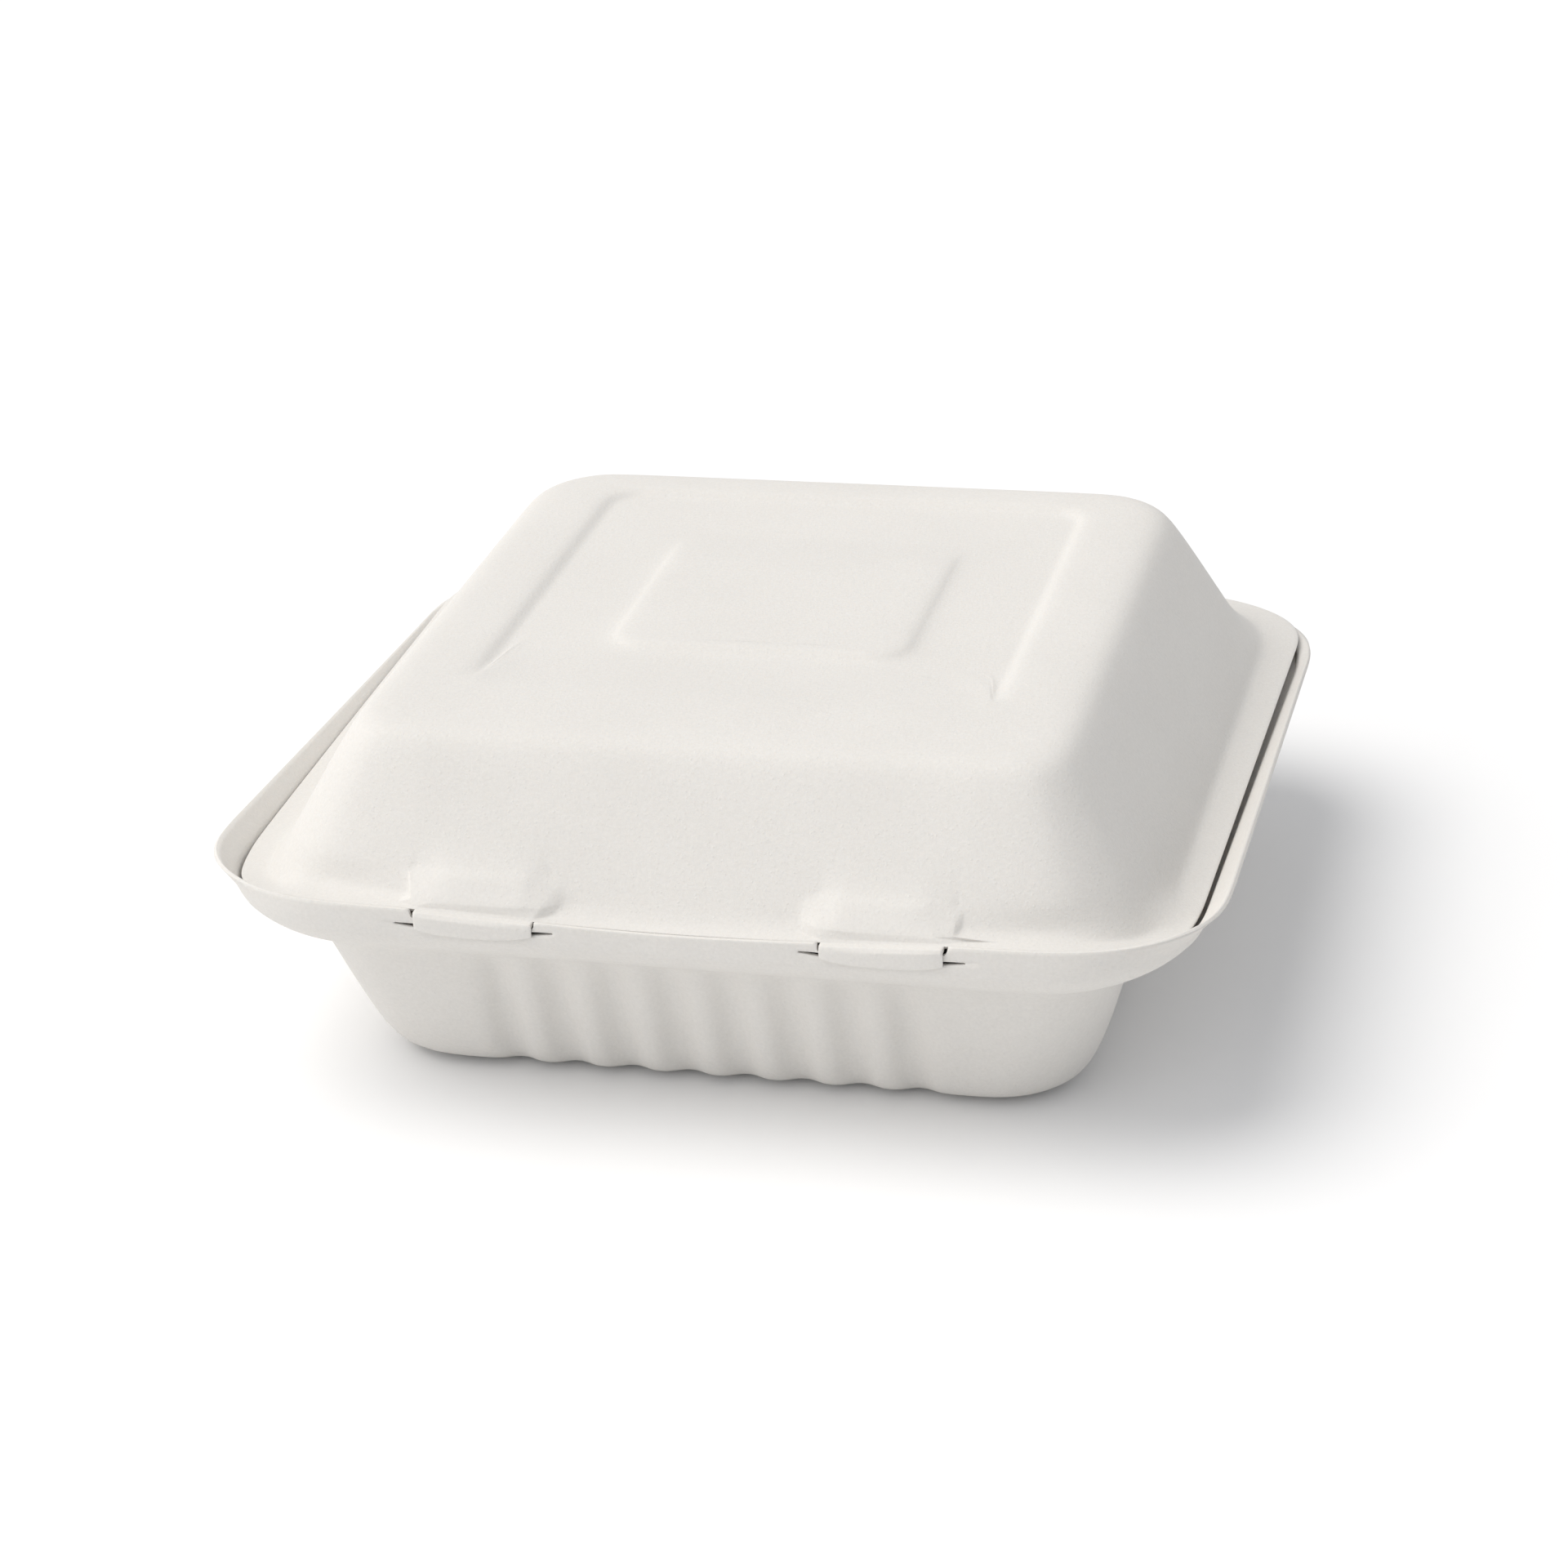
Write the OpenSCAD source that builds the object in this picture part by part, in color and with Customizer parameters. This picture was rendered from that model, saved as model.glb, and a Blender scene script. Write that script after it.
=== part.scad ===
// Hinged meal box moulded from sugar cane fibre: a ribbed base and a domed lid on one fold.
// The origin is on the table under the middle of the box, +Z is up and the front faces -Y.

/* [Box] */
// Width across the side lips
width = 203; // [198:1:210]
// Distance from the middle to the front face of the band
front_reach = 93; // [91:0.5:96]
// Distance from the middle to the fold at the back
fold_reach = 94.2; // [93:0.2:98]
// Height of the closed box
height = 74.5; // [68:0.5:82]
// Thickness of the moulded fibre
wall = 0.8; // [0.6:0.1:1.2]

/* [Base] */
// Half width of the bottom where the lines of the walls meet it
foot_half = 72.8; // [69:0.2:75]
// Lean of the base walls, in degrees from upright
base_lean = 16.5; // [12:0.5:18]
// Height at which the tapered wall turns out into the ledge
ledge_z = 33; // [30:0.5:34]
// Rounding of the bottom edge
foot_round = 9; // [6:0.5:11]
// Corner radius of the tapered wall, seen from above
base_corner = 18; // [14:0.5:22]
// Rise of the panel in the middle of the bottom
panel_rise = 1.2; // [0.6:0.1:2]
// Width of the flat ring that the box stands on
stand_ring = 9; // [6:0.5:12]

/* [Grooves] */
// Number of upright grooves in each wall
groove_count = 8; // [4:1:8]
// Distance from groove to groove
groove_pitch = 11.7; // [11:0.1:11.9]
// Depth of a groove
groove_depth = 2.4; // [0.8:0.1:2.6]
// Width of a groove at the face of the wall
groove_mouth = 8.4; // [6:0.2:9.6]
// Width of a groove at its bottom
groove_floor = 2.8; // [1.6:0.2:4]

/* [Band and lip] */
// Height of the front rim
rim_front_z = 46.9; // [46:0.1:48.4]
// Height of the fold at the back
fold_z = 40; // [39.4:0.1:41]
// How far the front rim sags in its middle
rim_sag = 2; // [0:0.1:2.6]
// Distance from the middle to the upright part of the side band, at its front end
band_half = 97.3; // [96.6:0.1:98]
// How much wider band and lid edge are at the back than at the front, on each side
side_flare = 2.6; // [1.4:0.1:3]
// Corner reach of the lip along the front
lip_corner_x = 33; // [30:0.5:38]
// Corner reach of the lip along the side
lip_corner_y = 25; // [22:0.5:30]
// Corner reach of the lip along the back
back_corner_x = 40; // [36:0.5:42]
// Corner reach of the lip along the side, at the back
back_corner_y = 28; // [26:0.5:34]

/* [Lid] */
// Half width of the lid's top where the lines of the walls meet it
top_half = 71; // [68:0.5:73]
// Lean of the lid walls, in degrees from upright
lid_lean = 31.5; // [27:0.5:33]
// Rounding of the edge round the top
top_round = 8; // [5:0.5:12]
// Corner radius at the top
top_corner = 15.5; // [12:0.5:19]
// Corner radius at the foot of the lid wall
lid_foot_corner = 34; // [28:0.5:36]
// Height of the lid edge at the front of the sides
lid_edge_z = 43.1; // [42.6:0.1:43.8]
// Free space between lid edge and base, all round
edge_gap = 0.4; // [0.3:0.05:0.6]
// Open gap that shows between lid edge and side band
side_gap = 0.8; // [0.6:0.1:1.6]
// How far the lid edge lies below the front rim
edge_drop = 0.3; // [0.2:0.05:0.5]

/* [Top panels] */
// Half width of the sunk panel, at the middle of its step
sunk_half = 53.3; // [50:0.1:55]
// Distance from the middle to the back step of the sunk panel
sunk_back = 58.1; // [56:0.1:59.6]
// Distance from the middle to where the sunk panel runs out at the front
sunk_front = 50; // [46:0.5:54]
// Depth of the sunk panel
sunk_depth = 1.3; // [0.6:0.1:2]
// Half width of the raised panel, at the middle of its step
raised_half = 30.8; // [26:0.1:36]
// Distance from the middle to the front step of the raised panel
raised_front = 25.3; // [20:0.1:30]
// Distance from the middle to where the raised panel runs out at the back
raised_back = 44; // [38:0.5:48]
// Height of the raised panel over the sunk one
raised_height = 1.3; // [0.6:0.1:2]
// Width of a step, seen from above
step_width = 2.6; // [1.6:0.1:4.6]

/* [Locks] */
// Distance from the middle to the middle of a lock slot
lock_x = 39.9; // [38:0.1:41]
// Length of a slot
slot_length = 31.7; // [29:0.1:33]
// Height of the middle of the slots
slot_z = 43; // [42.6:0.1:43.4]
// Height of a slot
slot_height = 0.8; // [0.6:0.1:1.6]
// Height of a slot at its two ends
slot_end_height = 0.4; // [0.2:0.1:0.8]
// How much higher the ends of a slot are than its middle
slot_smile = 0.6; // [0:0.1:1]
// Length of a tongue
tongue_length = 23.6; // [20:0.1:25]
// Free space beside a tongue where it crosses the front rim
notch_gap = 0.35; // [0.3:0.05:0.7]
// How far a tongue hangs below the middle of its slot
tongue_drop = 1.2; // [0.6:0.1:1.6]
// How far a bump in the lid wall stands out over its tongue
bump_depth = 3.3; // [1.6:0.1:3.6]
// Height of a bump above the front rim
bump_rise = 4.6; // [3.6:0.1:6]

/* [Hidden] */
fibre = "#e7e2da";

corner_parts = 5;
taper_end = 70;
half_width = width / 2;
base_spread = tan(base_lean);
lid_spread = tan(lid_lean);
fold_gap = 0.4;
edge_corner = lip_corner_x - 6;
edge_back_corner_x = back_corner_x - 4;
edge_back_corner_y = back_corner_y - 4;

// Small helpers
function clamp(v, low, high) = min(max(v, low), high);
function mix(a, b, t) = a + (b - a) * t;
function ease(t) = let (c = clamp(t, 0, 1)) c * c * (3 - 2 * c);
function turned(list) = [for (i = [len(list) - 1 : -1 : 0]) list[i]];
function unit(v) = v / norm(v);

// Share of the way from the front end of the sides to their back end
function along(y) = clamp((y + taper_end) / (2 * taper_end), 0, 1);

// Inner points of one rounded corner, seen from above
function corner(cx, cy, rx, ry, from) =
    [for (i = [1 : corner_parts - 1])
        let (a = from + 90 * i / corner_parts)
        [cx + rx * cos(a), cy + ry * sin(a)]];

// One closed outline seen from above. x and y are the half sizes (yf to the front, yb to the back),
// rx and ry the corner reaches at the front, bx and by those at the back. Each side is a list of
// [place along the side, inset].
function outline(x, yf, yb, rx, ry, bx, by, front, side, back) =
    concat(
        [for (c = front) [c[0], -(yf - c[1])]],
        corner(x - rx, ry - yf, rx, ry, -90),
        [for (c = side) [x - c[1], c[0]]],
        corner(x - bx, yb - by, bx, by, 0),
        [for (c = turned(back)) [c[0], yb - c[1]]],
        corner(bx - x, yb - by, bx, by, 90),
        [for (c = turned(side)) [c[1] - x, c[0]]],
        corner(rx - x, ry - yf, rx, ry, 180));

// Widens an outline evenly from the front end of the sides to the back
function flared(x, y, x_size, flare) = x * (1 + flare / x_size * along(y));

// Unit normal of a grid of points at ring k and column j
function normal_at(grid, k, j) =
    let (
        n = len(grid[0]),
        last = len(grid) - 1,
        a = grid[k][(j + 1) % n] - grid[k][(j + n - 1) % n],
        b = grid[min(k + 1, last)][j] - grid[max(k - 1, 0)][j])
    unit(cross(a, b));

// The same grid moved inwards by one wall thickness; way is 1 for the base and -1 for the lid
function inner_grid(grid, way) =
    [for (k = [0 : len(grid) - 1])
        [for (j = [0 : len(grid[0]) - 1]) grid[k][j] - normal_at(grid, k, j) * wall * way]];

// Two triangles for one four-sided face
function quad(a, b, c, d) = [[a, b, c], [a, c, d]];
function joined(lists) = [for (l = lists) for (e = l) e];

// Faces that close the first ring, as rungs from side to side. sides holds the number of points
// on the front and on each side, and the corners have corner_parts - 1 each.
function cap(columns, sides, start) =
    let (
        front = sides[0],
        rungs = sides[1] + 2 * (corner_parts - 1),
        back = columns - front - 2 * rungs,
        r = function (i) start + front + i,
        l = function (i) start + columns - 1 - i,
        b = front + rungs)
    concat(
        joined([for (i = [0 : rungs - 2]) quad(r(i), r(i + 1), l(i + 1), l(i))]),
        [for (j = [0 : front - 2]) [start + j, start + j + 1, r(0)]],
        [[start, r(0), l(0)]],
        [for (j = [0 : back - 2]) [start + b + j, start + b + j + 1, l(rungs - 1)]],
        [[r(rungs - 1), start + b, l(rungs - 1)]]);

// A closed shell from an outer grid of rings. Ring 0 is closed by rungs and the last
// ring is the free edge. holes holds [ring, first column, last column] of cells left open. tabs holds
// [first column, last column, outer rows, inner rows] of strips that go on from the free edge.
module shell(grid, way, sides, holes = [], tabs = []) {
    rings = len(grid);
    columns = len(grid[0]);
    inner = inner_grid(grid, way);
    half_count = rings * columns;
    tab_starts = [for (t = [0 : len(tabs)])
        2 * half_count + (t == 0 ? 0 : sum_points(tabs, t - 1))];
    points = concat(joined(grid), joined(inner),
        joined([for (t = tabs) concat(joined(t[2]), joined(t[3]))]));
    function out(k, j) = k * columns + (j + columns) % columns;
    function in(k, j) = half_count + out(k, j);
    function is_open(k, j) =
        len([for (h = holes) if (k == h[0] && j >= h[1] && j < h[2]) 1]) > 0;
    function on_tab(j) = len([for (t = tabs) if (j >= t[0] && j < t[1]) 1]) > 0;
    skin = joined([for (k = [0 : rings - 2]) for (j = [0 : columns - 1]) if (!is_open(k, j))
        concat(quad(out(k, j), out(k + 1, j), out(k + 1, j + 1), out(k, j + 1)),
               quad(in(k, j), in(k, j + 1), in(k + 1, j + 1), in(k + 1, j)))]);
    edge = joined([for (j = [0 : columns - 1]) if (!on_tab(j))
        quad(out(rings - 1, j), in(rings - 1, j), in(rings - 1, j + 1), out(rings - 1, j + 1))]);
    caps = concat(cap(columns, sides, 0), [for (f = cap(columns, sides, half_count)) turned(f)]);
    slot_walls = joined([for (h = holes) concat(
        joined([for (j = [h[1] : h[2] - 1]) concat(
            quad(out(h[0], j), in(h[0], j), in(h[0], j + 1), out(h[0], j + 1)),
            quad(out(h[0] + 1, j), out(h[0] + 1, j + 1), in(h[0] + 1, j + 1), in(h[0] + 1, j)))]),
        quad(out(h[0], h[1]), out(h[0] + 1, h[1]), in(h[0] + 1, h[1]), in(h[0], h[1])),
        quad(out(h[0], h[2]), in(h[0], h[2]), in(h[0] + 1, h[2]), out(h[0] + 1, h[2])))]);
    tab_faces = joined([for (t = [0 : len(tabs) - 1])
        tab_quads(tabs[t], tab_starts[t], rings, columns, half_count)]);
    faces = concat(skin, edge, caps, slot_walls, tab_faces);
    polyhedron(points = points, faces = way > 0 ? faces : [for (f = faces) turned(f)], convexity = 8);
}

// Number of points in the tabs up to number t
function sum_points(tabs, t) =
    2 * len(tabs[t][2]) * len(tabs[t][2][0]) + (t == 0 ? 0 : sum_points(tabs, t - 1));

// Faces of one tab that goes on from the free edge
function tab_quads(tab, start, rings, columns, half_count) =
    let (
        wide = tab[1] - tab[0] + 1,
        rows = len(tab[2]),
        edge_row = (rings - 1) * columns + tab[0],
        o = function (r, i) r < 0 ? edge_row + i : start + r * wide + i,
        n = function (r, i) r < 0 ? half_count + edge_row + i : start + (rows + r) * wide + i)
    concat(
        joined([for (r = [-1 : rows - 2]) for (i = [0 : wide - 2])
            concat(quad(o(r, i), o(r + 1, i), o(r + 1, i + 1), o(r, i + 1)),
                   quad(n(r, i), n(r, i + 1), n(r + 1, i + 1), n(r + 1, i)))]),
        joined([for (r = [-1 : rows - 2]) concat(
            quad(o(r, 0), n(r, 0), n(r + 1, 0), o(r + 1, 0)),
            quad(o(r, wide - 1), o(r + 1, wide - 1), n(r + 1, wide - 1), n(r, wide - 1)))]),
        joined([for (i = [0 : wide - 2])
            quad(o(rows - 1, i), n(rows - 1, i), n(rows - 1, i + 1), o(rows - 1, i + 1))]));

// Grooves of one wall as [place along the wall, 1 in the groove and 0 on the face]
grooves = [for (i = [0 : groove_count - 1])
    let (c = (i - (groove_count - 1) / 2) * groove_pitch)
    each [[c - groove_mouth / 2, 0], [c - groove_floor / 2, 1],
          [c + groove_floor / 2, 1], [c + groove_mouth / 2, 0]]];
groove_reach = (groove_count - 1) / 2 * groove_pitch + groove_mouth / 2;

// Columns of a grooved wall whose straight part reaches from -low to high
function wall_columns(low, high, depth) =
    let (s = min(1, (min(low, high) - 2) / groove_reach))
    concat([[-low, 0], [-(low + s * groove_reach) / 2, 0]],
        [for (g = grooves) [g[0] * s, g[1] * depth]],
        [[(high + s * groove_reach) / 2, 0], [high, 0]]);

slot_in = lock_x - slot_length / 2;
slot_out = lock_x + slot_length / 2;
tongue_in = lock_x - tongue_length / 2;
tongue_out = lock_x + tongue_length / 2;
notch_side = 0.35;
slot_stops = [slot_in, tongue_in - notch_gap - notch_side, tongue_in - notch_gap,
    mix(tongue_in, tongue_out, 0.33), lock_x, mix(tongue_in, tongue_out, 0.67),
    tongue_out + notch_gap, tongue_out + notch_gap + notch_side, slot_out];
slot_cells = len(slot_stops) - 1;
front_cells = 4 * groove_count + 1;

// Columns of the band's front, where the ends of slots and notches are among them
function band_columns(reach) =
    concat([[-reach, 0]],
        [for (x = turned(slot_stops)) [-x, 0]],
        [for (i = [1 : front_cells - 2 * slot_cells - 1])
            [mix(-slot_in, slot_in, i / (front_cells - 2 * slot_cells)), 0]],
        [for (x = slot_stops) [x, 0]],
        [[reach, 0]]);

base_wall_z = ledge_z - 4.5;
base_edge_turn = 90 - base_lean;
base_edge_cut = foot_round * tan(base_edge_turn / 2);
foot_flat = foot_half - base_edge_cut;
function base_half(z) = foot_half + z * base_spread;

// Rings of the base's outer face, from the middle of the bottom to the rim:
// [half width, to the front, to the back, corner x, corner y, z at the front, z at the back,
//  share of the groove depth, follows the flare of the sides, has the slots' columns,
//  corner x and corner y at the back]
base_rings = [
    let (h = foot_flat - stand_ring - 3) [h, h, h, 10, 10, panel_rise, panel_rise, 0, 0, 0, 10, 10],
    let (h = foot_flat - stand_ring) [h, h, h, 12, 12, 0, 0, 0, 0, 0, 12, 12],
    let (r = base_corner - 4) [foot_flat, foot_flat, foot_flat, r, r, 0, 0, 0.3, 0, 0, r, r],
    let (h = foot_flat + foot_round * sin(base_edge_turn / 2), r = base_corner - 1.5,
         z = foot_round * (1 - cos(base_edge_turn / 2)))
        [h, h, h, r, r, z, z, 0.85, 0, 0, r, r],
    let (z = base_edge_cut * cos(base_lean), h = base_half(z), r = base_corner)
        [h, h, h, r, r, z, z, 1, 0, 0, r, r],
    let (z = base_wall_z, h = base_half(z), r = base_corner) [h, h, h, r, r, z, z, 1, 0, 0, r, r],
    let (z = ledge_z, h = base_half(z), r = base_corner) [h, h, h, r, r, z, z, 0.35, 0, 0, r, r],
    let (z = ledge_z + 1.8)
        [mix(base_half(ledge_z), band_half, 0.34), mix(base_half(ledge_z), front_reach, 0.46),
         mix(base_half(ledge_z), front_reach, 0.46), 21, 21, z, z, 0, 0, 0, 22, 22],
    let (z = ledge_z + 4.4)
        [mix(base_half(ledge_z), band_half, 0.68), mix(base_half(ledge_z), front_reach, 0.82),
         mix(base_half(ledge_z), front_reach, 0.82), 24, 24, z, ledge_z + 3.4, 0, 0.4, 1, 28, 28],
    [band_half - 0.9, front_reach - 0.2, front_reach - 0.4, 26, 26, ledge_z + 7.4, fold_z - 2.6, 0, 1, 1, 32, 32],
    [band_half - 0.1, front_reach, front_reach, 26, 26, slot_z - slot_height / 2, fold_z - 1.9, 0, 1, 1, 34, 34],
    [band_half + 0.3, front_reach, front_reach + 0.2, 26, 26, slot_z + slot_height / 2, fold_z - 1.4,
     0, 1, 1, 35, 34],
    [half_width, front_reach, fold_reach, lip_corner_x, lip_corner_y, rim_front_z, fold_z - 1, 0, 0, 1,
     back_corner_x, back_corner_y]];
slot_ring = 10;
rim_ring = len(base_rings) - 1;

// Sag of the front rim, the notches in which the tongues cross it, and the curve of the slots
sag_reach = 70;
dip_depth = edge_drop + wall + edge_gap + 0.1;
function sag(x) = abs(x) < sag_reach ? rim_sag * pow(cos(90 * x / sag_reach), 2) : 0;
function off_lock(x) = abs(abs(x) - lock_x);
function dip(x) = dip_depth * clamp((tongue_length / 2 + notch_gap + notch_side - off_lock(x)) / notch_side, 0, 1);
function slot_lift(k, x, y) =
    let (u = min(1, off_lock(x) / (slot_length / 2)))
    (k == slot_ring || k == slot_ring + 1) && y < 3 - front_reach
        ? slot_smile * u * u + (k == slot_ring ? 0.5 : -0.5) * (slot_height - slot_end_height)
            * clamp((u - 0.84) / 0.16, 0, 1)
        : 0;
function front_share(y) = ease((-y - front_reach + 4) / 3);

function base_grid() =
    [for (k = [0 : rim_ring])
        let (
            r = base_rings[k],
            depth = groove_depth * r[7],
            reach = r[0] - r[3],
            front = r[9] > 0 ? band_columns(reach) : wall_columns(reach, reach, depth),
            back_reach = r[0] - r[10],
            side = wall_columns(r[1] - r[4], r[2] - r[11], depth),
            back = wall_columns(back_reach, back_reach, depth))
        [for (p = outline(r[0], r[1], r[2], r[3], r[4], r[10], r[11], front, side, back))
            let (
                drop = k == rim_ring ? (sag(p[0]) + dip(p[0])) * front_share(p[1]) : -slot_lift(k, p[0], p[1]),
                flare = side_flare * r[8])
            [flared(p[0], p[1], r[0], flare), p[1], mix(r[5], r[6], along(p[1])) - drop]]];

module base() {
    slots = [[slot_ring, 1, 1 + slot_cells], [slot_ring, front_cells + 1 - slot_cells, front_cells + 1]];
    color(fibre) shell(base_grid(), 1, [4 * groove_count + 4, 4 * groove_count + 4], slots);
}

lid_edge_half = band_half - wall - side_gap;
lid_edge_front = front_reach - wall - edge_gap;
lid_edge_front_z = rim_front_z - edge_drop;
lid_back_z = fold_z + fold_gap / 2 + wall;

// Front columns of the lid, with the ends of bumps and tongues among them
bump_top_share = 0.18;
function lid_front(reach) =
    let (s = min(1, (reach - 1.5) / slot_out),
        half = [slot_in, tongue_in, mix(tongue_in, tongue_out, bump_top_share),
            mix(tongue_out, tongue_in, bump_top_share), tongue_out, slot_out])
    concat([[-reach, 0]], [for (x = turned(half)) [-x * s, 0]], [[0, 0]],
        [for (x = half) [x * s, 0]], [[reach, 0]]);
function lid_side(low, high) =
    [for (y = [-low, -low + min(7, low / 2), 0, high - min(15, high * 0.6), high - min(7, high * 0.3), high])
        [y, 0]];
function lid_back(reach) = [for (t = [-1, -0.5, 0, 0.5, 1]) [t * reach, 0]];
first_tongue = [2, 5];
second_tongue = [9, 12];

top_edge_turn = 90 - lid_lean;
top_edge_cut = top_round * tan(top_edge_turn / 2);
function lid_half(z) = top_half + (height - z) * lid_spread;
function lid_corner(z) = mix(top_corner, lid_foot_corner, clamp((height - z) / (height - 46), 0, 1));
bump_foot_z = rim_front_z + 0.6;
bump_top_z = rim_front_z + bump_rise;
half_step = step_width / 2;

// Rings of the lid's outer face, from the middle of the top to the free edge:
// [half width, to the front, to the back, corner reach at the front, corner reach at the back, z,
//  corner reach at the back along the side where it differs]
lid_rings = [
    [raised_half - half_step - 14, raised_front - half_step - 2.5, raised_back - half_step - 2.5, 4, 4, 0],
    [raised_half - half_step, raised_front - half_step, raised_back - half_step, 6, 6, 0],
    [raised_half + half_step, raised_front + half_step, raised_back + half_step, 8, 8, 0],
    [sunk_half - half_step - 2.5, mix(raised_front, sunk_front, 0.32), sunk_back - half_step - 2.5, 5, 5, 0],
    [sunk_half - half_step, sunk_front - half_step, sunk_back - half_step, 6, 6, 0],
    [sunk_half + half_step, sunk_front + half_step, sunk_back + half_step, 8, 8, 0],
    let (h = top_half - top_edge_cut) [h, h, h, top_corner - 3, top_corner - 3, height],
    let (h = top_half - top_edge_cut + top_round * sin(top_edge_turn / 2),
         z = height - top_round * (1 - cos(top_edge_turn / 2)))
        [h, h, h, top_corner, top_corner, z],
    let (z = height - top_edge_cut * cos(lid_lean), h = lid_half(z), r = lid_corner(z)) [h, h, h, r, r, z],
    let (z = bump_top_z + 2.2, h = lid_half(z), r = lid_corner(z)) [h, h, h, r, r, z],
    let (z = bump_top_z, h = lid_half(z), r = lid_corner(z)) [h, h, h, r, r, z],
    let (z = bump_foot_z, h = lid_half(z), r = lid_corner(z)) [h, h, h, r, r, z],
    [mix(lid_half(bump_foot_z), lid_edge_half, 0.45), mix(lid_half(bump_foot_z), lid_edge_front, 0.5),
     mix(lid_half(bump_foot_z), fold_reach, 0.45), 30, 36, 0, 30],
    [lid_edge_half, lid_edge_front, fold_reach, edge_corner, edge_back_corner_x, 0, edge_back_corner_y]];
edge_ring = len(lid_rings) - 1;

// Height of the lid's free edge: level with the rim at the front, inside the lip at the sides
function edge_z(x, y) =
    let (rise = ease((-y - 74) / (lid_edge_front - 76)))
    mix(mix(lid_edge_z, lid_back_z, along(y)), lid_edge_front_z - sag(x), rise);

// Height of the top's panels. The sunk one runs out at the front and the raised one at the back.
sunk_z = height - sunk_depth;
function lid_z(k, x, y) =
    k < 2 ? sunk_z + raised_height * (1 - ease((y - raised_back + 21) / 12))
    : k < 4 ? sunk_z
    : k == 4 ? height - sunk_depth * ease((y + sunk_front - 4) / 8)
    : k == 5 ? height
    : k < edge_ring - 1 ? lid_rings[k][5]
    : k == edge_ring ? edge_z(x, y)
    : mix(edge_z(x, y), bump_foot_z, 0.22);

// How far the lid wall stands out at a bump
function bump(k, x, y) =
    k == edge_ring - 1 || k == edge_ring - 2
        ? bump_depth * (k == edge_ring - 1 ? 0.5 : 1) * ease((tongue_length / 2 + 3.4 - off_lock(x)) / 3)
    : k == edge_ring - 3 ? bump_depth * 0.85 * ease((tongue_length / 2 - 1 - off_lock(x)) / 3)
    : 0;

function lid_grid() =
    [for (k = [0 : edge_ring])
        let (
            r = lid_rings[k],
            reach = r[0] - r[3],
            back_y = len(r) > 6 ? r[6] : r[4],
            rim_share = k == edge_ring ? 1 : k == edge_ring - 1 ? 0.5 : 0)
        [for (p = outline(r[0], r[1], r[2], r[3], r[3], r[4], back_y, lid_front(reach),
                lid_side(r[1] - r[3], r[2] - back_y), lid_back(r[0] - r[4])))
            let (out = p[1] < -(r[1] - 0.01) ? bump(k, p[0], p[1]) : 0)
            [flared(p[0], p[1], r[0], side_flare * rim_share), p[1] - out, lid_z(k, p[0], p[1])]]];

// A tongue's rows, over the rim and down outside the band: [distance to the front, z]
tongue_reach = front_reach + edge_gap;
tongue_tip = slot_z - tongue_drop;
function tongue_rows(xs, outside) =
    let (d = outside ? wall : 0)
    [[for (x = xs) [x, -(front_reach + (outside ? 0.5 : 0.2)), edge_z(x, -lid_edge_front) - (outside ? 0 : wall)]],
     [for (x = xs) [x, -(tongue_reach + d), edge_z(x, -lid_edge_front) - (outside ? 0.7 : wall + 0.25)]],
     [for (i = [0 : len(xs) - 1])
        let (lift = i == 0 || i == len(xs) - 1 ? tongue_drop - 0.2 : 0)
        [xs[i], -(tongue_reach + d), tongue_tip + lift]]];

module lid() {
    grid = lid_grid();
    tabs = [for (t = [first_tongue, second_tongue])
        let (xs = [for (j = [t[0] : t[1]]) grid[edge_ring][j][0]])
        [t[0], t[1], tongue_rows(xs, true), tongue_rows(xs, false)]];
    color(fibre) shell(grid, -1, [len(lid_front(20)), len(lid_side(20, 20))], [], tabs);
}

base();
lid();
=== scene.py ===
"""Looks of a hinged meal box moulded from sugar cane fibre, built round its CAD frame."""

import math

import bmesh
import bpy
from mathutils import Matrix, Vector


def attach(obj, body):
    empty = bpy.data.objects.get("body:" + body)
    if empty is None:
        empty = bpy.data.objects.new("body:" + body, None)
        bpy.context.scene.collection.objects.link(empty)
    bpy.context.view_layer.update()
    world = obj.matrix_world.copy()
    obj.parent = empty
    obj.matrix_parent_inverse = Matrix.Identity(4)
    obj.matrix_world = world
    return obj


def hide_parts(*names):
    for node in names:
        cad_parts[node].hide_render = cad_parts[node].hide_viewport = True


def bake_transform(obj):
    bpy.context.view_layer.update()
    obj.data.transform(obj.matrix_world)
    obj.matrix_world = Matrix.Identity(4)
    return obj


bl_info = {
    "name": "Fibre meal box",
    "version": (1, 0, 0),
    "blender": (4, 5, 0),
    "location": "View3D > Sidebar > Meal box",
    "description": "Smooth moulded skins, fibre material, stage, lights and camera for the meal box",
    "category": "Object",
}

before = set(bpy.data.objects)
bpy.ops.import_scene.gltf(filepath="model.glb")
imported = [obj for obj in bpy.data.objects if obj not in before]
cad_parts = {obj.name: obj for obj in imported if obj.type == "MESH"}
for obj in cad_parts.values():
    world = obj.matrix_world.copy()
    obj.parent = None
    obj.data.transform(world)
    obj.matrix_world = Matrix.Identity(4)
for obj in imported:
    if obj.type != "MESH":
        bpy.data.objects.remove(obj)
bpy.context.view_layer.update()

MM = 0.001

# Camera as solved from the box's straight edges, lengths in millimetres and angles in degrees
PHOTO_PIXELS = 1920.0
CAMERA_FOCAL_PIXELS = 4556.0
CAMERA_YAW = 15.21
CAMERA_PITCH = 25.54
CAMERA_ROLL = -3.19
CAMERA_OFFSET = (1.7, -6.8, 783.0)
CAMERA_AIM = (0.0, 0.0, 40.0)
SENSOR_WIDTH = 36.0
CLIP_START = 0.01

# Slope up to which an edge counts as level
LEVEL_SLOPE = 0.25

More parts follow.
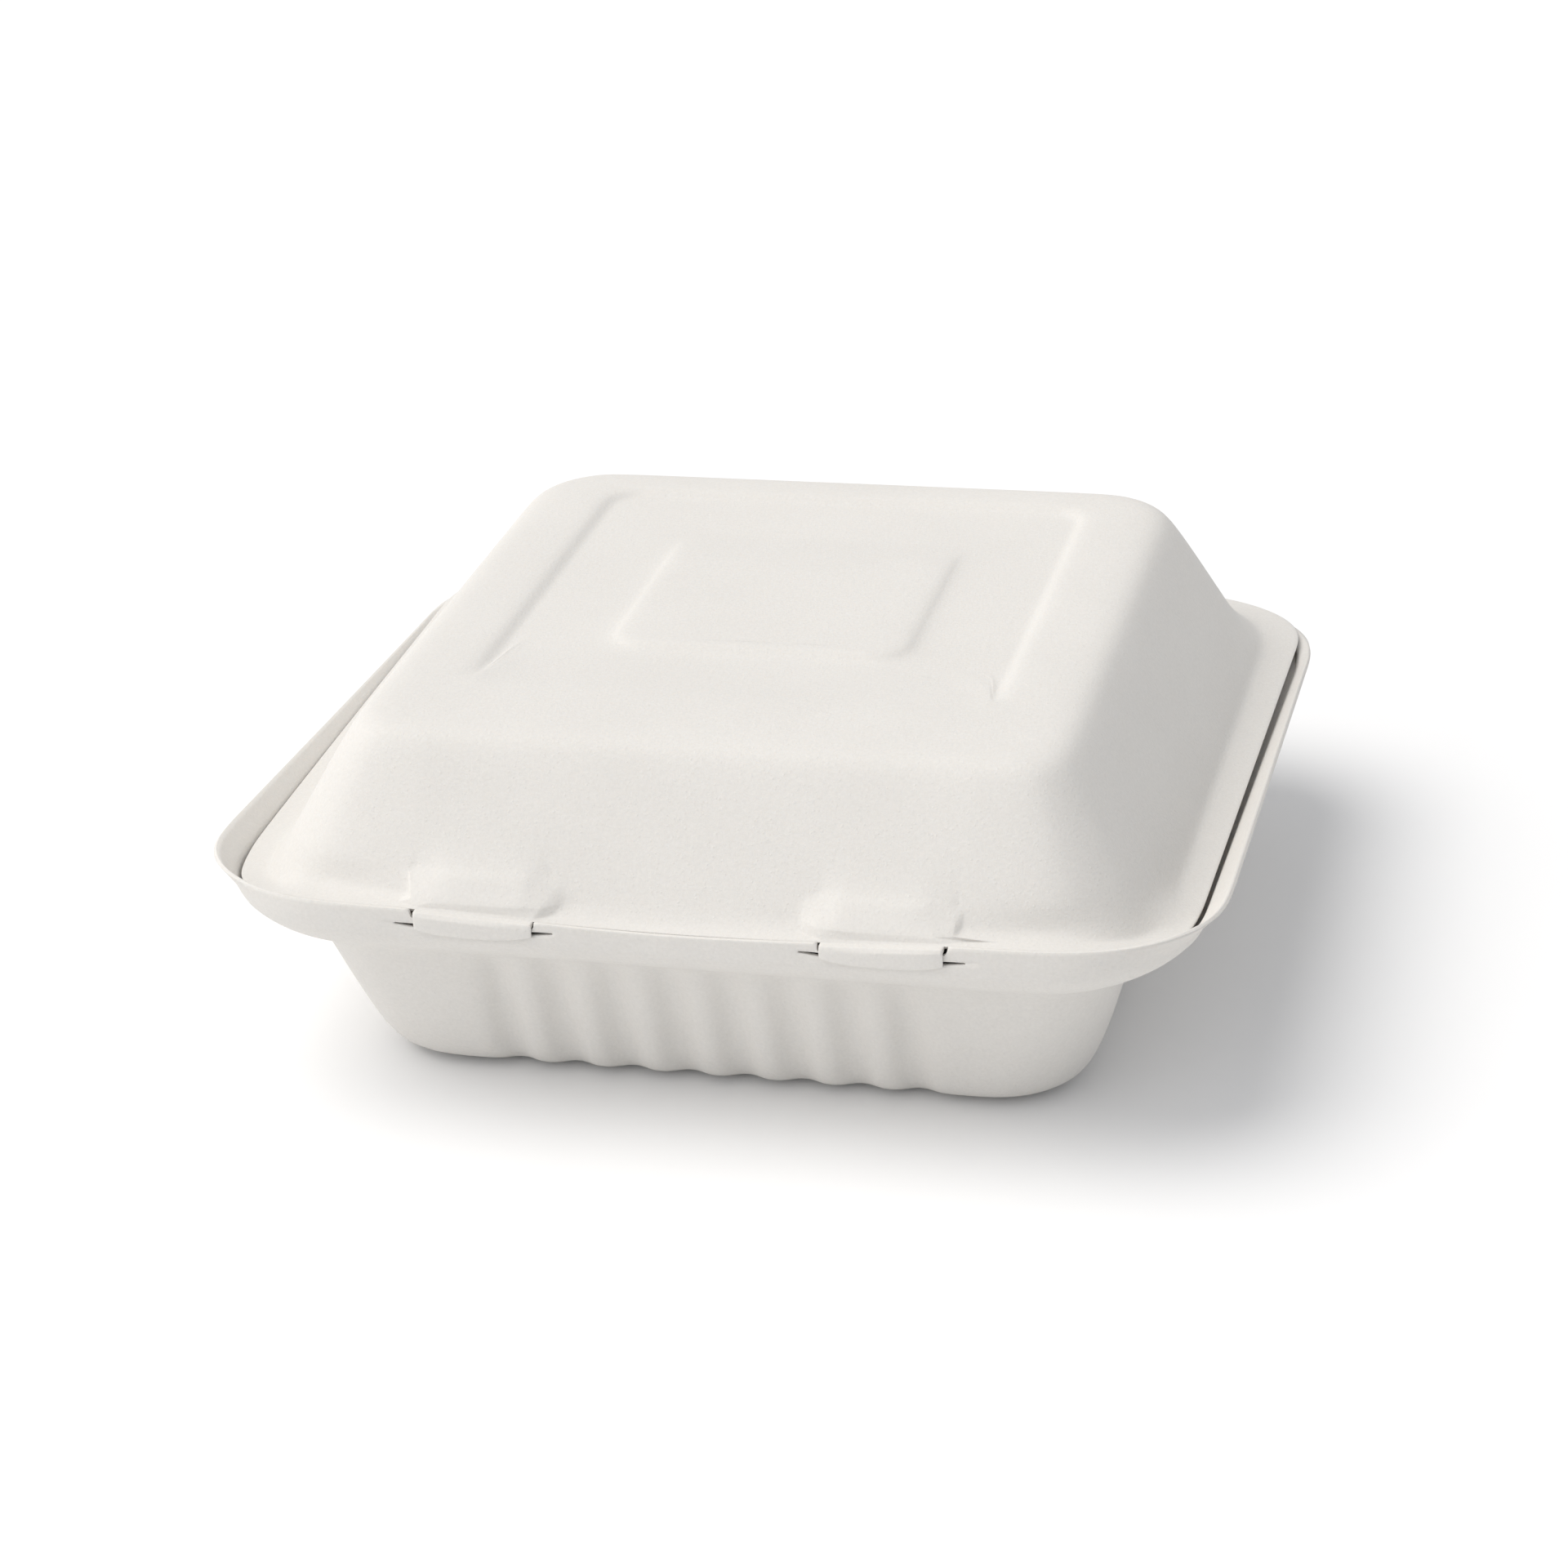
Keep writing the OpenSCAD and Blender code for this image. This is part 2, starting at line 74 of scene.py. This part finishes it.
# How the real lid sits, in millimetres: its left edge lies this far out,
# the sides of its tongues this far in, and the rim's notches close by this much
LEFT_EDGE_SLACK = -0.95
TONGUE_SIDE_LEAN = 0.6
TONGUE_SIDES = (28.1, 51.7)
NOTCH_CLOSING = 0.25
NOTCH_REACH = 0.9
TONGUE_BACK_Y = -92.3
TONGUE_TOP_Z = 47.2

# The lid's walls: half width at the top's height, growth downwards,
# and corner reach at the top and at the foot
LID_TOP_Z = 74.5
LID_TOP_HALF = 71.0
LID_SPREAD = 0.613
LID_TOP_CORNER = 15.5
LID_FOOT_CORNER = 34.0
LID_FOOT_Z = 46.0
# Share of the corner reach that the pressed sheet keeps at the front corners
CORNER_KEEP = 0.68
# The lid's edge: half width, flare to the back, front and back reach, corner reach at the front
# and at the back, and how far its front corners reach out
EDGE_HALF = 95.7
EDGE_FLARE = 2.6
EDGE_FRONT = 91.8
EDGE_BACK = 94.2
EDGE_CORNER = 27.0
EDGE_BACK_CORNER = 30.0
EDGE_REACH_OUT = 3.0
# The flange inside the edge: distance of its inner line, width of the zone that moves, the move,
# the share of it that goes down, where it starts beside the middle, and the height it ends at
FLANGE_LINE = 5.2
FLANGE_ZONE = 3.6
FLANGE_MOVE = 1.3
FLANGE_DROP = 0.35
FLANGE_SIDE = 62.0
FLANGE_TOP_Z = 50.0

# The fold at the back: middle of its bend, outer radius and wall, and half its length, in millimetres
FOLD_Y = 93.8
FOLD_Z = 40.0
FOLD_RADIUS = 1.15
FOLD_WALL = 0.8
FOLD_HALF = 61.0


# The fibre's surface
FIBRE_SURFACE = (
    ("Roughness", 0.78),
    ("Specular IOR Level", 0.28),
    ("Subsurface Weight", 0.12),
    ("Subsurface Radius", (1.0, 0.85, 0.7)),
    ("Subsurface Scale", 0.0012),
)


def linear(hex_colour):
    """An sRGB hex colour as the linear RGBA that Blender's sockets hold."""
    parts = [int(hex_colour[i:i + 2], 16) / 255.0 for i in (1, 3, 5)]
    return tuple(c / 12.92 if c <= 0.04045 else ((c + 0.055) / 1.055) ** 2.4 for c in parts) + (1.0,)


def add_node(tree, kind, place, links=(), **values):
    """Adds a shader node, sets its sockets and properties by name, and links its inputs."""
    new = tree.nodes.new(kind)
    new.location = place
    for key, value in values.items():
        if hasattr(new, key):
            setattr(new, key, value)
        else:
            new.inputs[key.replace("_", " ")].default_value = value
    for socket, source in links:
        tree.links.new(source, new.inputs[socket])
    return new


def deselect():
    if bpy.context.object and bpy.context.object.mode != "OBJECT":
        bpy.ops.object.mode_set(mode="OBJECT")
    bpy.ops.object.select_all(action="DESELECT")


def activate(piece):
    deselect()
    piece.select_set(True)
    bpy.context.view_layer.objects.active = piece


def fibre_material(colours, grain, screen):
    """Moulded sugar cane fibre: warm white, matt, with fine grain, soft mottling and a faint screen print."""
    material = bpy.data.materials.new("moulded_fibre")
    material.use_nodes = True
    tree = material.node_tree
    shader = tree.nodes["Principled BSDF"]
    out = tree.nodes["Material Output"]
    shader.location = (900, 0)
    out.location = (1200, 0)

    place = add_node(tree, "ShaderNodeTexCoord", (-1500, 0)).outputs["Object"]
    clouds = add_node(tree, "ShaderNodeTexNoise", (-1100, 400), [("Vector", place)],
                      Scale=38.0, Detail=3.0, Roughness=0.55)
    fibres = add_node(tree, "ShaderNodeTexNoise", (-1100, 100), [("Vector", place)],
                      Scale=1500.0, Detail=3.0, Roughness=0.6)
    stretch = add_node(tree, "ShaderNodeMapping", (-1300, -200), [("Vector", place)],
                       Scale=(260.0, 90.0, 420.0))
    strands = add_node(tree, "ShaderNodeTexNoise", (-1100, -200), [("Vector", stretch.outputs["Vector"])],
                       Scale=3.0, Detail=2.0, Roughness=0.5, Distortion=1.2)
    specks = add_node(tree, "ShaderNodeTexVoronoi", (-1100, -500), [("Vector", place)], Scale=900.0)
    speck_mask = add_node(tree, "ShaderNodeMapRange", (-850, -500), [("Value", specks.outputs["Distance"])],
                          From_Min=0.10, From_Max=0.24, To_Min=1.0, To_Max=0.0)

    ramp = add_node(tree, "ShaderNodeValToRGB", (-700, 400), [("Fac", clouds.outputs["Fac"])])
    ramp.color_ramp.elements[0].position = 0.35
    ramp.color_ramp.elements[0].color = linear(colours[1])
    ramp.color_ramp.elements[1].position = 0.65
    ramp.color_ramp.elements[1].color = linear(colours[0])
    fine = add_node(tree, "ShaderNodeMapRange", (-700, 100), [("Value", fibres.outputs["Fac"])],
                    From_Min=0.3, From_Max=0.7, To_Min=0.965, To_Max=1.02)
    shade = add_node(tree, "ShaderNodeVectorMath", (-300, 300),
                     [(0, ramp.outputs["Color"])], operation="SCALE")
    tree.links.new(fine.outputs["Result"], shade.inputs["Scale"])
    tree.links.new(shade.outputs["Vector"], shader.inputs["Base Color"])

    grain_bump = add_node(tree, "ShaderNodeBump", (200, -200), [("Height", fibres.outputs["Fac"])],
                          Strength=grain, Distance=0.0003)
    strand_bump = add_node(tree, "ShaderNodeBump", (400, -200),
                           [("Height", strands.outputs["Fac"]), ("Normal", grain_bump.outputs["Normal"])],
                           Strength=grain * 0.6, Distance=0.0004)
    speck_bump = add_node(tree, "ShaderNodeBump", (600, -200),
                          [("Height", speck_mask.outputs["Result"]), ("Normal", strand_bump.outputs["Normal"])],
                          Strength=screen, Distance=0.00012)
    tree.links.new(speck_bump.outputs["Normal"], shader.inputs["Normal"])
    for socket, value in FIBRE_SURFACE:
        shader.inputs[socket].default_value = value
    return material


def select_edges(piece, zone, angle, level):
    """Selects the edges inside a zone, a test of x, y and z in millimetres, that turn by more than an angle.

    With level set, only those that run nearly level count.
    """
    mesh = bmesh.from_edit_mesh(piece.data)
    for edge in mesh.edges:
        a, b = (vert.co / MM for vert in edge.verts)
        flat = not level or abs(a.z - b.z) < LEVEL_SLOPE * (a - b).length
        edge.select_set(flat and edge.calc_face_angle(0.0) > math.radians(angle) and zone(*(a + b) / 2))
    bmesh.update_edit_mesh(piece.data)


def move_points(piece, shift):
    """Moves the points of a piece in edit mode. shift gives the offset at x, y and z, all in millimetres."""
    mesh = bmesh.from_edit_mesh(piece.data)
    for vert in mesh.verts:
        vert.co += Vector(shift(*vert.co / MM)) * MM
    bmesh.update_edit_mesh(piece.data)


def smooth_skin(node, name, levels, creases, shift):
    """A merged, smoothed copy of a CAD node's mesh. creases holds (zone, angle, crease weight, level)."""
    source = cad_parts[node]
    piece = bpy.data.objects.new(name, source.data.copy())
    bpy.context.scene.collection.objects.link(piece)
    activate(piece)
    bpy.ops.object.mode_set(mode="EDIT")
    bpy.ops.mesh.select_mode(type="EDGE")
    bpy.ops.mesh.select_all(action="SELECT")
    bpy.ops.mesh.remove_doubles(threshold=0.000002)
    bpy.ops.mesh.customdata_custom_splitnormals_clear()
    bpy.ops.mesh.tris_convert_to_quads(face_threshold=math.radians(50), shape_threshold=math.radians(70))
    move_points(piece, shift)
    for zone, angle, weight, level in creases:
        bpy.ops.mesh.select_all(action="DESELECT")
        select_edges(piece, zone, angle, level)
        bpy.ops.transform.edge_crease(value=weight)
    bpy.ops.mesh.select_all(action="DESELECT")
    bpy.ops.object.mode_set(mode="OBJECT")
    bpy.ops.object.modifier_add(type="SUBSURF")
    piece.modifiers[-1].levels = levels
    bpy.ops.object.modifier_apply(modifier=piece.modifiers[-1].name)
    bpy.ops.object.shade_smooth()
    return piece


# Zones that keep their form when the skins are smoothed
def everywhere(x, y, z):
    return True


def on_grooves(x, y, z):
    return 3 < z < 30 and (abs(x) < 46 or abs(y) < 46)


def on_panels(x, y, z):
    return z > 72 and abs(x) < 56 and -42 < y < 61


def on_bumps(x, y, z):
    return y < -80 and 45 < z < 53 and 22 < abs(x) < 58


def on_lip_foot(x, y, z):
    return z > 38 and (abs(x) > 95 or abs(y) > 91)


def on_flange(x, y, z):
    return z < 47 and abs(x) > FLANGE_SIDE and 3.5 < inside_edge(x, y)[0] < 9


def notch_closed(x, y, z):
    """The notches of the front rim lie close to the tongues."""
    if y > -92 or z < 44.2 or abs(x) > 54:
        return 0.0, 0.0, 0.0
    for side, way in ((TONGUE_SIDES[0], 1), (TONGUE_SIDES[1], -1)):
        if 0 < (side - abs(x)) * way < NOTCH_REACH:
            return math.copysign(way * NOTCH_CLOSING, x), 0.0, 0.0
    return 0.0, 0.0, 0.0


# Creases as zone, least angle in degrees, weight, and whether only level edges count
BASE_CREASES = (
    (everywhere, 60.0, 0.8, False),
    (on_grooves, 15.0, 0.25, False),
    (on_lip_foot, 14.0, 0.5, True),
)
LID_CREASES = (
    (everywhere, 60.0, 0.8, False),
    (on_panels, 8.0, 0.3, False),
    (on_bumps, 12.0, 0.6, False),
    (on_flange, 8.0, 0.4, True),
)


def clamped(value):
    return min(max(value, 0.0), 1.0)


def corner_pull(x, y, half, front, reach, less):
    """The move in plan that makes a front corner of a given reach less round."""
    u, v = abs(x) - (half - reach), -y - (front - reach)
    if u <= 0 or v <= 0:
        return 0.0, 0.0
    size = math.hypot(u, v)
    share = less * clamped(size / reach)
    return math.copysign(share * (1 - u / size), x), -share * (1 - v / size)


def edge_half(y):
    return EDGE_HALF + EDGE_FLARE * clamped((y + 70) / 140)


def inside_edge(x, y):
    """How far a point of the lid lies inside its free edge, seen from above, and the way outwards."""
    front = y < 0
    reach = EDGE_CORNER if front else EDGE_BACK_CORNER
    u, v = abs(x) - (edge_half(y) - reach), abs(y) - ((EDGE_FRONT if front else EDGE_BACK) - reach)
    size = math.hypot(max(u, 0), max(v, 0))
    if size == 0:
        return reach - max(u, v), ((1.0, 0.0) if u > v else (0.0, 1.0))
    return reach - size, (max(u, 0) / size, max(v, 0) / size)


def settled(x, y, z):
    """How the pressed lid differs from its plain form.

    Its front corners are less round, its flange is flatter, and it sits a little to the left with the sides
    of its tongues against the band.
    """
    if y < TONGUE_BACK_Y and z < TONGUE_TOP_Z:
        side = min(abs(abs(x) - edge) for edge in TONGUE_SIDES) < 0.2 and y < -93.2 and z < 46.4
        return 0.0, (TONGUE_SIDE_LEAN * (1.0 if y < -94 else 0.3) if side else 0.0), 0.0
    depth, (out_x, out_y) = inside_edge(x, y)
    down = LID_TOP_Z - z
    wall = clamped((depth - 2.0) / 6.0)
    reach = LID_TOP_CORNER + (LID_FOOT_CORNER - LID_TOP_CORNER) * clamped(down / (LID_TOP_Z - LID_FOOT_Z))
    half = LID_TOP_HALF + down * LID_SPREAD
    dx, dy = corner_pull(x, y, half, half, reach, wall * reach * (1 - CORNER_KEEP)) if y < 0 else (0.0, 0.0)
    if wall < 1:
        ex, ey = corner_pull(x, y, edge_half(y), EDGE_FRONT, EDGE_CORNER, (1 - wall) * EDGE_REACH_OUT)
        dx, dy = dx + ex, dy + ey
    if z < FLANGE_TOP_Z:
        beside = 1 if abs(x) > FLANGE_SIDE else 0
        move = FLANGE_MOVE * clamped(1 - abs(depth - FLANGE_LINE) / FLANGE_ZONE) * beside
        dx -= math.copysign(move * out_x, x)
        dy -= math.copysign(move * out_y, y)
        dz = -FLANGE_DROP * move
    else:
        dz = 0.0
    if x < -90 and depth < 3:
        dx += LEFT_EDGE_SLACK * clamped((70 + y) / 20)
    return dx, dy, dz


def wear(piece, material):
    piece.data.materials.clear()
    piece.data.materials.append(material)


class MealBoxSettings(bpy.types.PropertyGroup):
    """Sizes and colours of the box's looks"""

    pale: bpy.props.StringProperty(
        name="Pale fibre", description="Colour of the fibre where it is lightest, as an sRGB hex value",
        default="#dedbd6")
    deep: bpy.props.StringProperty(
        name="Deep fibre", description="Colour of the fibre where it is darkest, as an sRGB hex value",
        default="#dcd9d4")
    floor: bpy.props.StringProperty(
        name="Floor", description="Colour of the floor, as an sRGB hex value", default="#f4f4f4")
    grain: bpy.props.FloatProperty(
        name="Grain", description="Strength of the fibre's fine relief", default=0.2, min=0.0, max=1.0,
        subtype="FACTOR")
    screen: bpy.props.FloatProperty(
        name="Screen print", description="Strength of the fine specks left by the mould's screen", default=0.3,
        min=0.0, max=1.0, subtype="FACTOR")
    key: bpy.props.FloatProperty(
        name="Key light", description="Strength of the soft light at the left", default=2.0, min=0.0, max=10.0)
    fill: bpy.props.FloatProperty(
        name="Fill light", description="Strength of the soft light at the front", default=0.7, min=0.0, max=10.0)
    tent: bpy.props.FloatProperty(
        name="Surroundings", description="Strength of the even light all round", default=0.58, min=0.0, max=2.0)


def material_of(context):
    found = bpy.data.materials.get("moulded_fibre")
    if found:
        return found
    s = context.scene.meal_box
    return fibre_material((s.pale, s.deep), s.grain, s.screen)


class MEALBOX_OT_base(bpy.types.Operator):
    """Make the base's moulded skin with its grooves, ledge, band and lip"""

    bl_idname = "mealbox.base"
    bl_label = "Base"
    bl_options = {"REGISTER", "UNDO"}

    def execute(self, context):
        piece = smooth_skin("base", "base_skin", 2, BASE_CREASES, notch_closed)
        wear(piece, material_of(context))
        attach(piece, "base_body")
        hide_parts("base")
        return {"FINISHED"}


class MEALBOX_OT_lid(bpy.types.Operator):
    """Make the lid's moulded skin with its panels, bumps and tongues"""

    bl_idname = "mealbox.lid"
    bl_label = "Lid"
    bl_options = {"REGISTER", "UNDO"}

    def execute(self, context):
        piece = smooth_skin("lid", "lid_skin", 3, LID_CREASES, settled)
        wear(piece, material_of(context))
        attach(piece, "lid_body")
        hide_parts("lid")
        return {"FINISHED"}


class MEALBOX_OT_fold(bpy.types.Operator):
    """Make the fold, the bend of the sheet that joins base and lid at the back"""

    bl_idname = "mealbox.fold"
    bl_label = "Fold"
    bl_options = {"REGISTER", "UNDO"}

    def execute(self, context):
        deselect()
        bpy.ops.mesh.primitive_cylinder_add(
            vertices=32, radius=FOLD_RADIUS * MM, depth=2 * FOLD_HALF * MM, end_fill_type="NOTHING",
            location=(0, FOLD_Y * MM, FOLD_Z * MM), rotation=(0, math.radians(90), 0))
        piece = context.object
        piece.name = "fold_strip"
        bpy.ops.object.transform_apply(location=True, rotation=True, scale=True)
        bpy.ops.object.mode_set(mode="EDIT")
        bpy.ops.mesh.select_mode(type="VERT")
        bpy.ops.mesh.select_all(action="DESELECT")
        mesh = bmesh.from_edit_mesh(piece.data)
        for vert in mesh.verts:
            vert.select_set(vert.co.y < (FOLD_Y - 0.01) * MM)
        bmesh.update_edit_mesh(piece.data)
        bpy.ops.mesh.delete(type="VERT")
        bpy.ops.object.mode_set(mode="OBJECT")
        bpy.ops.object.modifier_add(type="SOLIDIFY")
        piece.modifiers[-1].thickness = FOLD_WALL * MM
        piece.modifiers[-1].offset = -1.0
        bpy.ops.object.modifier_apply(modifier=piece.modifiers[-1].name)
        bpy.ops.object.shade_smooth_by_angle(angle=math.radians(40))
        wear(piece, material_of(context))
        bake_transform(piece)
        return {"FINISHED"}


def camera_axes():
    """The solved camera's right, up and back directions and its place in millimetres."""
    a, e, r = (math.radians(v) for v in (CAMERA_YAW, CAMERA_PITCH, CAMERA_ROLL))
    back = Vector((math.sin(a) * math.cos(e), -math.cos(a) * math.cos(e), math.sin(e)))
    right = Vector((math.cos(a), math.sin(a), 0.0))
    up = back.cross(right)
    right, up = (math.cos(r) * right + math.sin(r) * up, math.cos(r) * up - math.sin(r) * right)
    x, y, depth = CAMERA_OFFSET
    place = Vector(CAMERA_AIM) - right * x + up * y + back * depth
    return right, up, back, place


def soft_sun(name, towards, strength, softness, colour):
    """A distant light of a wide angle, shining from a direction."""
    bpy.ops.object.light_add(type="SUN", location=Vector(towards))
    lamp = bpy.context.object
    lamp.name = name
    lamp.rotation_euler = Vector(towards).to_track_quat("Z", "Y").to_euler()
    lamp.data.energy = strength
    lamp.data.angle = math.radians(softness)
    lamp.data.color = linear(colour)[:3]


class MEALBOX_OT_stage(bpy.types.Operator):
    """Make the floor, the lights, the white surroundings and the camera"""

    bl_idname = "mealbox.stage"
    bl_label = "Stage"
    bl_options = {"REGISTER", "UNDO"}

    def execute(self, context):
        s = context.scene.meal_box
        deselect()
        bpy.ops.mesh.primitive_plane_add(size=6.0, location=(0, 0, 0))
        floor = bpy.context.object
        floor.name = "floor"
        bpy.ops.object.transform_apply(location=True, rotation=True, scale=True)
        material = bpy.data.materials.new("floor_white")
        material.use_nodes = True
        shader = material.node_tree.nodes["Principled BSDF"]
        shader.inputs["Base Color"].default_value = linear(s.floor)
        shader.inputs["Roughness"].default_value = 0.9
        shader.inputs["Specular IOR Level"].default_value = 0.1
        wear(floor, material)

        soft_sun("key", (-0.46, -0.06, 0.88), s.key, 50.0, "#fffcf8")
        soft_sun("fill", (-0.75, -0.60, 0.22), s.fill, 60.0, "#fffdfb")

        world = context.scene.world or bpy.data.worlds.new("surroundings")
        context.scene.world = world
        world.use_nodes = True
        tree = world.node_tree
        tree.nodes.clear()
        path = add_node(tree, "ShaderNodeLightPath", (-400, 200))
        soft = add_node(tree, "ShaderNodeBackground", (-200, 0), Color=linear("#f9fbff"), Strength=s.tent)
        seen = add_node(tree, "ShaderNodeBackground", (-200, -200), Color=linear("#ffffff"), Strength=1.0)
        mixed = add_node(tree, "ShaderNodeMixShader", (50, 0),
                         [(0, path.outputs["Is Camera Ray"]), (1, soft.outputs["Background"]),
                          (2, seen.outputs["Background"])])
        add_node(tree, "ShaderNodeOutputWorld", (250, 0), [("Surface", mixed.outputs["Shader"])])

        right, up, back, place = camera_axes()
        turn = Matrix((right, up, back)).transposed().to_4x4()
        bpy.ops.object.camera_add()
        camera = bpy.context.object
        camera.name = "photo_camera"
        camera.matrix_world = Matrix.Translation(place * MM) @ turn
        camera.data.sensor_width = SENSOR_WIDTH
        camera.data.lens = CAMERA_FOCAL_PIXELS / PHOTO_PIXELS * SENSOR_WIDTH
        camera.data.clip_start = CLIP_START
        context.scene.camera = camera
        context.scene.view_settings.view_transform = "Standard"
        return {"FINISHED"}


class MEALBOX_PT_panel(bpy.types.Panel):
    """Settings and makers of the meal box"""

    bl_idname = "MEALBOX_PT_panel"
    bl_label = "Meal box"
    bl_space_type = "VIEW_3D"
    bl_region_type = "UI"
    bl_category = "Meal box"

    def draw(self, context):
        settings = context.scene.meal_box
        for name in ("pale", "deep", "grain", "screen", "floor", "key", "fill", "tent"):
            self.layout.prop(settings, name)
        for maker in MAKERS:
            self.layout.operator(maker.bl_idname)


MAKERS = (MEALBOX_OT_base, MEALBOX_OT_lid, MEALBOX_OT_fold, MEALBOX_OT_stage)
CLASSES = (MealBoxSettings,) + MAKERS + (MEALBOX_PT_panel,)


def register():
    for item in CLASSES:
        bpy.utils.register_class(item)
    bpy.types.Scene.meal_box = bpy.props.PointerProperty(type=MealBoxSettings)


def unregister():
    del bpy.types.Scene.meal_box
    for item in reversed(CLASSES):
        bpy.utils.unregister_class(item)


def main():
    register()
    bpy.ops.mealbox.base()
    bpy.ops.mealbox.lid()
    bpy.ops.mealbox.fold()
    bpy.ops.mealbox.stage()


if __name__ == "__main__":
    main()
